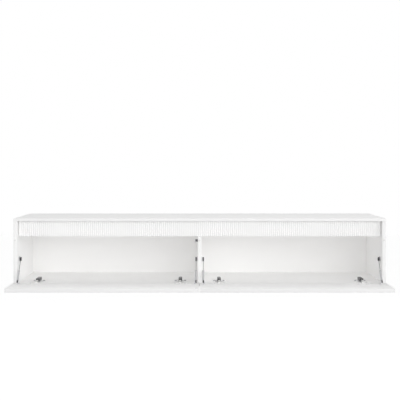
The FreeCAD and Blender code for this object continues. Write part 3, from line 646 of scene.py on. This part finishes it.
class CONSOLE_OT_fascia(bpy.types.Operator):
    """Reeded fascia under the top"""
    bl_idname = "console.fascia"
    bl_label = "Reeded fascia"

    def execute(self, context):
        sizes = context.scene.console_sizes
        low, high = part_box("fluted_fascia")
        pitch = (high.x - low.x) / sizes.reed_count
        middle = (low.z + high.z) / 2
        bpy.ops.mesh.primitive_grid_add(x_subdivisions=10, y_subdivisions=1, size=1.0,
                                        location=(low.x + pitch / 2, low.y, middle),
                                        rotation=(math.pi / 2, 0, 0))
        reeds = new_object("fluted_fascia_reeds")
        reeds.scale = (pitch, high.z - low.z, 1)
        settle(reeds)
        self.round_off(reeds, low, pitch, sizes)
        row = reeds.modifiers.new("row", "ARRAY")
        row.count = sizes.reed_count
        row.use_relative_offset = False
        row.use_constant_offset = True
        row.constant_offset_displace = (pitch, 0, 0)
        row.use_merge_vertices = True
        row.merge_threshold = 1e-5
        apply_modifiers(reeds)
        self.thicken(reeds, low, high)
        tidy_normals(reeds)
        carry(smooth(reeds, degrees=38), "fluted_fascia")
        self.packing(low, high, sizes)
        return {"FINISHED"}

    def packing(self, low, high, sizes):
        """Slim lacquered strip in the gap between the fascia and the top panel."""
        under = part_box("top_panel")[0].z
        front = low.y + sizes.reed_depth + sizes.strip_setback
        strip = eased_board("fascia_packing_strip", Vector((low.x, front, high.z + sizes.strip_play)),
                            Vector((high.x, high.y, under - sizes.strip_play)), STRIP_EDGE)
        strip.data.materials.append(finish_for("fluted_fascia"))
        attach(smooth(strip), NODES["fluted_fascia"]["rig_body"])

    def round_off(self, strip, low, pitch, sizes):
        """Bends one flat strip to the section of a reed, with half a valley at each side."""
        reach = (pitch - sizes.reed_valley) / 2
        depth = sizes.reed_depth
        radius = (reach ** 2 + depth ** 2) / (2 * depth)
        columns = sorted({round(vertex.co.x, 7) for vertex in strip.data.vertices})
        last = len(columns) - 1
        for vertex in strip.data.vertices:
            index = min(range(len(columns)), key=lambda i: abs(columns[i] - vertex.co.x))
            if index in (0, last):
                across = -pitch / 2 if index == 0 else pitch / 2
                sunk = depth
            else:
                angle = (2 * (index - 1) / (last - 2) - 1) * math.asin(reach / radius)
                across = radius * math.sin(angle)
                sunk = radius - radius * math.cos(angle)
            vertex.co.x = low.x + pitch / 2 + across
            vertex.co.y = low.y + sunk

    def thicken(self, sheet, low, high):
        """Pulls the rim of the reeded sheet back, lays it flat at the rear and closes it."""
        start_edit(sheet, "EDGE")
        bpy.ops.mesh.select_non_manifold()
        bpy.ops.mesh.extrude_edges_move(TRANSFORM_OT_translate={"value": (0, RIM_PULL, 0)})
        bpy.ops.transform.resize(value=(1, 0, 1), center_override=(0, high.y, (low.z + high.z) / 2))
        bpy.ops.mesh.edge_face_add()
        end_edit()


class CONSOLE_OT_flaps(bpy.types.Operator):
    """Drop-down flaps with the drillings for their hinge cups"""
    bl_idname = "console.flaps"
    bl_label = "Flaps"

    def execute(self, context):
        sizes = context.scene.console_sizes
        for side in ("left", "right"):
            node = "flap_" + side
            low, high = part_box(node)
            flap = settle(block(node + "_board", (low + high) / 2, high - low))
            start_edit(flap, "EDGE")
            pick_edges(flap, lambda middle, way: abs(way.x) > ALONG_X and middle.y > high.y - MM)
            bpy.ops.mesh.bevel(offset=sizes.hinge_edge, segments=5, affect="EDGES")
            pick_edges(flap, lambda middle, way: middle.y < low.y + MM)
            bpy.ops.mesh.bevel(offset=sizes.board_edge, segments=3, affect="EDGES")
            end_edit()
            for name in PLACES:
                if name.startswith(side):
                    self.drill(flap, "hinge_cup_" + name)
            carry(smooth(flap), node)
        return {"FINISHED"}

    def drill(self, flap, cup):
        """Round drilling a little wider than the cup."""
        low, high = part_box(cup)
        radius = (high.y - low.y) / 2
        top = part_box("bottom_panel")[1].z
        depth = top - low.z + CUP_PLAY
        place = ((low.x + high.x) / 2, high.y - radius, top - depth + (depth + PAST) / 2)
        bpy.ops.mesh.primitive_cylinder_add(vertices=64, radius=radius + CUP_PLAY, depth=depth + PAST,
                                            location=place)
        cut(flap, new_object("drilling"))


# ---- pressed and moulded fittings
def dressed_copy(node, name, edge, sharp=30.0):
    """Copy of a CAD solid with its loose triangles joined and its outer edges rounded."""
    obj = bpy.data.objects.new(name, NODES[node].data.copy())
    bpy.context.scene.collection.objects.link(obj)
    start_edit(obj, "EDGE")
    weld(2e-6)
    bpy.ops.mesh.select_all(action="DESELECT")
    mesh = bmesh.from_edit_mesh(obj.data)
    for line in mesh.edges:
        line.select_set(line.is_convex and line.calc_face_angle() > math.radians(sharp))
    bmesh.update_edit_mesh(obj.data)
    bpy.ops.mesh.bevel(offset=edge, segments=2, affect="EDGES", clamp_overlap=False, loop_slide=False)
    end_edit()
    return obj


def dress(node, suffix, edge):
    """Fitting with its CAD shape, rounded edges and its finish."""
    return carry(smooth(dressed_copy(node, node + suffix, edge), degrees=40), node)


class CONSOLE_OT_hinges(bpy.types.Operator):
    """Flap hinges: cup, arm and mounting plate"""
    bl_idname = "console.hinges"
    bl_label = "Flap hinges"

    def execute(self, context):
        sizes = context.scene.console_sizes
        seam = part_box("bottom_panel")[0].y + sizes.nose_end
        for name in PLACES:
            for kind in ("hinge_cup_", "hinge_arm_", "hinge_plate_"):
                piece = dress(kind + name, "_pressed", sizes.fitting_edge)
                if kind == "hinge_arm_":
                    self.nose_with_painted_reflection(piece, seam)
        return {"FINISHED"}

    def nose_with_painted_reflection(self, arm, seam):
        """In front of the seam the arm is pale nickel, partly a painted reflection of the white surroundings,
        and behind it dark.
        """
        start_edit(arm)
        bpy.ops.mesh.select_all(action="SELECT")
        bpy.ops.mesh.bisect(plane_co=(0, seam, 0), plane_no=(0, 1, 0))
        end_edit()
        # The nose faces take the pale finish that carries the painted reflection.
        arm.data.materials.append(FINISHES["satin_nickel"])
        for face in arm.data.polygons:
            if face.center.y < seam:
                face.material_index = 1


def turned(name, profile, sides=32):
    """Round piece about Z: a ring is extruded and resized from one (radius, height) to the next."""
    radius, height = profile[0]
    bpy.ops.object.select_all(action="DESELECT")
    bpy.ops.mesh.primitive_circle_add(vertices=sides, radius=radius, fill_type="NOTHING",
                                      location=(0, 0, height))
    obj = settle(new_object(name))
    start_edit(obj, "EDGE")
    bpy.ops.mesh.select_all(action="SELECT")
    for next_radius, next_height in profile[1:]:
        bpy.ops.mesh.extrude_edges_move(TRANSFORM_OT_translate={"value": (0, 0, next_height - height)})
        factor = next_radius / radius
        bpy.ops.transform.resize(value=(factor, factor, 1), center_override=(0, 0, next_height))
        radius, height = next_radius, next_height
    weld(1e-7)
    bpy.ops.mesh.select_all(action="DESELECT")
    bpy.ops.mesh.select_non_manifold()
    bpy.ops.mesh.fill_holes(sides=0)
    end_edit()
    tidy_normals(obj)
    return obj


class CONSOLE_OT_stays(bpy.types.Operator):
    """Sliding stays: tube, rod, moulded ends and brackets"""
    bl_idname = "console.stays"
    bl_label = "Stays"

    def execute(self, context):
        edge = context.scene.console_sizes.fitting_edge
        for name in PLACES:
            foot = Vector(JOINTS["stay_turn_" + name]["pos_m"])
            way = Vector(JOINTS["stay_slide_" + name]["axis"])
            self.tube("stay_cylinder_" + name, foot, way)
            self.rod("stay_rod_" + name, foot, way)
            for kind in ("stay_foot_", "stay_head_", "stay_flap_bracket_"):
                dress(kind + name, "_piece", edge)
        for node in ("stay_brackets_outer", "stay_brackets_inner"):
            dress(node, "_piece", edge)
        return {"FINISHED"}

    def reach(self, node, foot, way, radius=0.0):
        """Lowest and highest point along the stay, in millimetres, of what lies outside a radius."""
        heights = []
        for vertex in NODES[node].data.vertices:
            arm = vertex.co - foot
            height = arm.dot(way)
            if (arm - way * height).length >= radius * MM:
                heights.append(height / MM)
        return min(heights), max(heights)

    def turn_and_lay(self, node, suffix, section, foot, way):
        """Turns a section given in millimetres, and lays it along the stay."""
        piece = turned(node + suffix, scaled(section, MM, MM))
        piece.matrix_world = aim(foot, way)
        carry(smooth(settle(piece)), node)

    def tube(self, node, foot, way):
        """Tube with a spigot, a rolled groove below its cap, and a bore for the piston."""
        spigot = self.reach(node, foot, way)[0]
        low, high = self.reach(node, foot, way, TUBE_FROM)
        section = [(ROD_RADIUS, spigot), (ROD_RADIUS, low), (TUBE_RADIUS - TUBE_CHAMFER, low),
                   (TUBE_RADIUS, low + TUBE_CHAMFER)]
        section += [(TUBE_RADIUS - sunk, high - down) for sunk, down in ROLLED_GROOVE + ROUNDED_END]
        section += [(ROD_RADIUS + CAP_PLAY, high), (ROD_RADIUS + CAP_PLAY, high - TUBE_CAP),
                    (TUBE_BORE, high - TUBE_CAP), (TUBE_BORE, low + TUBE_FOOT), (AXIS_GAP, low + TUBE_FOOT)]
        self.turn_and_lay(node, "_tube", section, foot, way)

    def rod(self, node, foot, way):
        """Polished rod with the piston and its ring groove."""
        end = self.reach(node, foot, way)[1]
        low, high = self.reach(node, foot, way, PISTON_FROM)
        section = [(ROD_RADIUS, low)]
        section += [(PISTON_RADIUS - sunk, low + up) for sunk, up in PISTON_RING]
        section += [(PISTON_RADIUS, high - CHAMFER), (PISTON_RADIUS - CHAMFER, high), (ROD_RADIUS, high),
                    (ROD_RADIUS, end - CHAMFER), (ROD_RADIUS - CHAMFER, end), (AXIS_GAP, end)]
        self.turn_and_lay(node, "_stem", section, foot, way)


class CONSOLE_OT_catch(bpy.types.Operator):
    """Magnetic catch, its strike disc and the bumper dots"""
    bl_idname = "console.catch"
    bl_label = "Magnetic catch"

    def execute(self, context):
        edge = context.scene.console_sizes.fitting_edge
        for node in ("catch_body", "catch_magnet", "catch_strike"):
            dress(node, "_piece", edge)
        dots = []
        for low, high in solids_of("flap_bumpers"):
            dot = turned("dot", scaled(BUMPER_DOME, (high.x - low.x) / 2, high.y - low.y), sides=24)
            centre = (low + high) / 2
            dot.matrix_world = aim((centre.x, high.y, centre.z), (0, -1, 0))
            dots.append(settle(dot))
        carry(smooth(join(dots, "flap_bumper_dots")), "flap_bumpers")
        return {"FINISHED"}


# ---- screws and joinery
def pan_screw(length, pitch):
    """Pan head with a cross recess over a threaded shank, driven along -Z from a seat at zero."""
    core = SHANK_RADIUS * THREAD_CORE
    height = -length + SHANK_RADIUS * TIP_LENGTH
    shank = [(SHANK_RADIUS * TIP_RADIUS, -length), (core, height)]
    while height + pitch < -pitch:
        shank += [(SHANK_RADIUS * out, height + pitch * up) for out, up in THREAD_TURN]
        height += pitch
    shank += [(SHANK_RADIUS * NECK, -pitch * NECK_HEIGHT), (SHANK_RADIUS, 0.0)]
    screw = turned("screw", shank + scaled(PAN_HEAD, HEAD_RADIUS, HEAD_HEIGHT), sides=16)
    long, wide, deep = RECESS
    size = (HEAD_RADIUS * long, HEAD_RADIUS * wide, HEAD_HEIGHT * deep)
    for angle in (0, math.pi / 2):
        cut(screw, block("recess", (0, 0, HEAD_HEIGHT), size, (0, 0, angle)))
    return screw


# Way that each group of screws is driven. Those of the brackets go into the panel beside them.
SCREW_GROUPS = {
    "fascia_screws": (0, -1, 0), "hinge_plate_screws": (0, 0, -1), "hinge_arm_screws": (0, 0, -1),
    "stay_bracket_screws": None, "catch_screws": (1, 0, 0), "flap_screws_left": (0, 0, -1),
    "flap_screws_right": (0, 0, -1),
}


class CONSOLE_OT_screws(bpy.types.Operator):
    """Screws with cross recesses and threads"""
    bl_idname = "console.screws"
    bl_label = "Screws"

    def execute(self, context):
        pitch = context.scene.console_sizes.thread_pitch
        for node, way in SCREW_GROUPS.items():
            placed = []
            models = {}
            for low, high in solids_of(node):
                drive = Vector(way) if way else self.outward(low, high)
                reach = abs((high - low).dot(drive))
                length = reach - HEAD_HEIGHT
                key = round(length, 5)
                if key not in models:
                    models[key] = pan_screw(length, pitch)
                seat = (low + high) / 2 - drive * (reach / 2 - HEAD_HEIGHT)
                turn = Matrix.Rotation(SCREW_STEP * len(placed), 4, "Z")
                placed.append(copy_of(models[key], aim(seat, -drive) @ turn))
            for model in models.values():
                bpy.data.objects.remove(model)
            carry(smooth(join(placed, node + "_set")), node)
        return {"FINISHED"}

    def outward(self, low, high):
        """Way that a bracket's screw is driven: into the panel beside it."""
        middle = (low.x + high.x) / 2
        beside_end = abs(middle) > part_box("side_panel_right")[0].x / 2
        return Vector((math.copysign(1, middle if beside_end else -middle), 0, 0))


class CONSOLE_OT_joinery(bpy.types.Operator):
    """Fluted dowels and slotted cams"""
    bl_idname = "console.joinery"
    bl_label = "Dowels and cams"

    def execute(self, context):
        self.dowels()
        self.cams()
        return {"FINISHED"}

    def dowels(self):
        """Fluted dowels with chamfered ends."""
        placed = []
        for low, high in solids_of("wood_dowels"):
            size = high - low
            axis = max(range(3), key=lambda index: size[index])
            way = Vector([1.0 if index == axis else 0.0 for index in range(3)])
            length, radius = size[axis], min(size) / 2
            foot = (low + high) / 2 - way * length / 2
            chamfer = radius * DOWEL_CHAMFER
            dowel = turned("dowel", [(radius - chamfer, 0), (radius, chamfer), (radius, length - chamfer),
                                     (radius - chamfer, length)], sides=DOWEL_SIDES)
            for vertex in dowel.data.vertices:
                side = round(math.atan2(vertex.co.y, vertex.co.x) / math.tau * DOWEL_SIDES)
                if side % 2 and chamfer / 2 < vertex.co.z < length - chamfer / 2:
                    vertex.co.x *= FLUTE
                    vertex.co.y *= FLUTE
            dowel.matrix_world = aim(foot, way)
            placed.append(settle(dowel))
        carry(smooth(join(placed, "wood_dowels_fluted"), degrees=50), "wood_dowels")

    def cams(self):
        """Cams with a cross slot in the face."""
        piece = dressed_copy("cam_housings", "cam_housings_cast", CAM_EDGE)
        for low, high in solids_of("cam_housings"):
            centre = (low + high) / 2
            inside = high.x if centre.x < RIGHT_CAMS_FROM else low.x
            for angle in (0, math.pi / 2):
                cut(piece, block("slot", (inside, centre.y, centre.z), CAM_SLOT, (angle, 0, 0)))
        carry(smooth(piece, degrees=40), "cam_housings")


# ---- stage
class CONSOLE_OT_stage(bpy.types.Operator):
    """Plain pale floor, white surroundings, soft lights and the camera"""
    bl_idname = "console.stage"
    bl_label = "Stage"

    def execute(self, context):
        studio = context.scene.console_studio
        context.scene.view_settings.view_transform = "Standard"
        context.scene.cycles.max_bounces = ALL_BOUNCES
        context.scene.cycles.diffuse_bounces = DIFFUSE_BOUNCES
        self.camera(context, studio)
        self.floor(studio)
        self.surroundings(context, studio)
        self.lights(studio)
        return {"FINISHED"}

    def camera(self, context, studio):
        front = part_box("side_panel_left")[0].y
        bpy.ops.object.camera_add(location=(0, front - studio.camera_distance, studio.camera_height),
                                  rotation=(math.pi / 2, 0, 0))
        camera = new_object("console_camera")
        camera.data.lens = studio.focal_length
        camera.data.sensor_width = SENSOR_WIDTH
        camera.data.shift_x, camera.data.shift_y = CAMERA_SHIFT
        camera.data.clip_end = CAMERA_REACH
        context.scene.camera = camera

    def floor(self, studio):
        """Plain floor. The camera sees it paler than it is, and it keeps the console's shadow."""
        bpy.ops.mesh.primitive_plane_add(size=FLOOR_SPAN, location=(0, 0, CAD_BOX[0][2] - studio.floor_drop))
        floor = new_object("studio_floor")
        material = bpy.data.materials.new("pale floor")
        material.use_nodes = True
        tree = material.node_tree
        shader = tree.nodes["Principled BSDF"]
        tone = studio.floor_tone
        shader.inputs["Base Color"].default_value = (tone, tone, tone, 1)
        shader.inputs["Roughness"].default_value = FLOOR_ROUGHNESS
        glow = tree.nodes.new("ShaderNodeEmission")
        add = tree.nodes.new("ShaderNodeAddShader")
        strength = math_node(tree, "MULTIPLY", self.any_sight(tree), studio.floor_glow)
        tree.links.new(strength, glow.inputs["Strength"])
        tree.links.new(shader.outputs["BSDF"], add.inputs[0])
        tree.links.new(glow.outputs["Emission"], add.inputs[1])
        tree.links.new(add.outputs["Shader"], tree.nodes["Material Output"].inputs["Surface"])
        floor.data.materials.append(material)

    def any_sight(self, tree):
        """1 where the camera, a gloss or a clear surface sees the stage."""
        path = tree.nodes.new("ShaderNodeLightPath")
        direct = math_node(tree, "ADD", path.outputs["Is Camera Ray"], path.outputs["Is Glossy Ray"])
        return math_node(tree, "ADD", direct, path.outputs["Is Transmission Ray"], clamp=True)

    def surroundings(self, context, studio):
        """World that lights at its level and is seen white."""
        world = bpy.data.worlds.new("white studio")
        context.scene.world = world
        world.use_nodes = True
        tree = world.node_tree
        background = tree.nodes["Background"]
        background.inputs["Color"].default_value = (1, 1, 1, 1)
        spread = tree.nodes.new("ShaderNodeMapRange")
        spread.inputs["To Min"].default_value = studio.world_level
        spread.inputs["To Max"].default_value = 1.0
        tree.links.new(self.any_sight(tree), spread.inputs["Value"])
        tree.links.new(spread.outputs["Result"], background.inputs["Strength"])

    def lights(self, studio):
        for name, strength, side, spread in (
                ("key_light", studio.key_strength, studio.key_side, studio.key_spread),
                ("right_light", studio.right_strength, studio.side_turn, studio.side_spread),
                ("left_light", studio.left_strength, -studio.side_turn, studio.side_spread)):
            self.broad_light(name, strength, side, spread, studio.key_height)
        left_wall, right_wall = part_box("side_panel_left")[1].x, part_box("side_panel_right")[0].x
        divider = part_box("centre_divider")
        self.inner_light("inner_light_left", left_wall, divider[0].x, studio.inner_power)
        self.inner_light("inner_light_right", divider[1].x, right_wall, studio.inner_power)
        self.soft_light("overhead_light", OVERHEAD_PLACE, OVERHEAD_SIZE, studio.overhead_power)
        self.soft_light("rear_light", REAR_PLACE, REAR_SIZE, studio.rear_power)

    def broad_light(self, name, strength, side, spread, height):
        """Even light from in front, turned right and raised."""
        bpy.ops.object.light_add(type="SUN", location=SUN_PLACE)
        light = new_object(name)
        light.data.energy = strength
        light.data.angle = spread
        light.rotation_euler = (math.pi / 2 - height, 0, side)

    def lamp(self, name, place, size, power):
        """Rectangular lamp, facing down, that the camera doesn't see."""
        bpy.ops.object.light_add(type="AREA", location=place)
        lamp = new_object(name)
        lamp.data.shape = "RECTANGLE"
        lamp.data.size, lamp.data.size_y = size
        lamp.data.energy = power
        lamp.visible_camera = False
        return lamp

    def inner_light(self, name, left, right, power):
        """Faint lamp under the top, behind the fascia, that opens the shade of a compartment."""
        near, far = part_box("front_rail")[1].y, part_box("back_panel")[0].y
        place = ((left + right) / 2, (near + far) / 2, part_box("top_panel")[0].z - INNER_GAP)
        self.lamp(name, place, ((right - left) * INNER_SHARE[0], (far - near) * INNER_SHARE[1]), power)

    def soft_light(self, name, place, size, power):
        """Large lamp that points at the middle of the console."""
        way = (CAD_BOX[0] + CAD_BOX[1]) / 2 - Vector(place)
        self.lamp(name, place, size, power).rotation_euler = way.to_track_quat("-Z", "Y").to_euler()


class CONSOLE_OT_finishes(bpy.types.Operator):
    """Materials of every finish"""
    bl_idname = "console.finishes"
    bl_label = "Finishes"

    def execute(self, context):
        FINISHES.update(make_finishes(context.scene.console_colours))
        for node, obj in NODES.items():
            obj.data.materials.clear()
            obj.data.materials.append(finish_for(node))
        return {"FINISHED"}


STEPS = ("finishes", "carcass", "fascia", "flaps", "hinges", "stays", "catch", "screws", "joinery", "stage")


class CONSOLE_PT_panel(bpy.types.Panel):
    """Sizes, colours and steps of the console"""
    bl_idname = "CONSOLE_PT_panel"
    bl_label = "Media console"
    bl_space_type = "VIEW_3D"
    bl_region_type = "UI"
    bl_category = "Console"

    def draw(self, context):
        scene = context.scene
        for settings in (scene.console_colours, scene.console_sizes, scene.console_studio):
            box = self.layout.box()
            for name in settings.__annotations__:
                box.prop(settings, name)
        for step in STEPS:
            self.layout.operator("console." + step)


CLASSES = (ConsoleColours, ConsoleSizes, ConsoleStudio, CONSOLE_OT_finishes, CONSOLE_OT_carcass,
           CONSOLE_OT_fascia, CONSOLE_OT_flaps, CONSOLE_OT_hinges, CONSOLE_OT_stays, CONSOLE_OT_catch,
           CONSOLE_OT_screws, CONSOLE_OT_joinery, CONSOLE_OT_stage, CONSOLE_PT_panel)


def register():
    for item in CLASSES:
        bpy.utils.register_class(item)
    bpy.types.Scene.console_colours = PointerProperty(type=ConsoleColours)
    bpy.types.Scene.console_sizes = PointerProperty(type=ConsoleSizes)
    bpy.types.Scene.console_studio = PointerProperty(type=ConsoleStudio)


def unregister():
    del bpy.types.Scene.console_colours
    del bpy.types.Scene.console_sizes
    del bpy.types.Scene.console_studio
    for item in reversed(CLASSES):
        bpy.utils.unregister_class(item)


def main():
    register()
    bpy.ops.object.select_all(action="DESELECT")
    for step in STEPS:
        getattr(bpy.ops.console, step)()


if __name__ == "__main__":
    main()
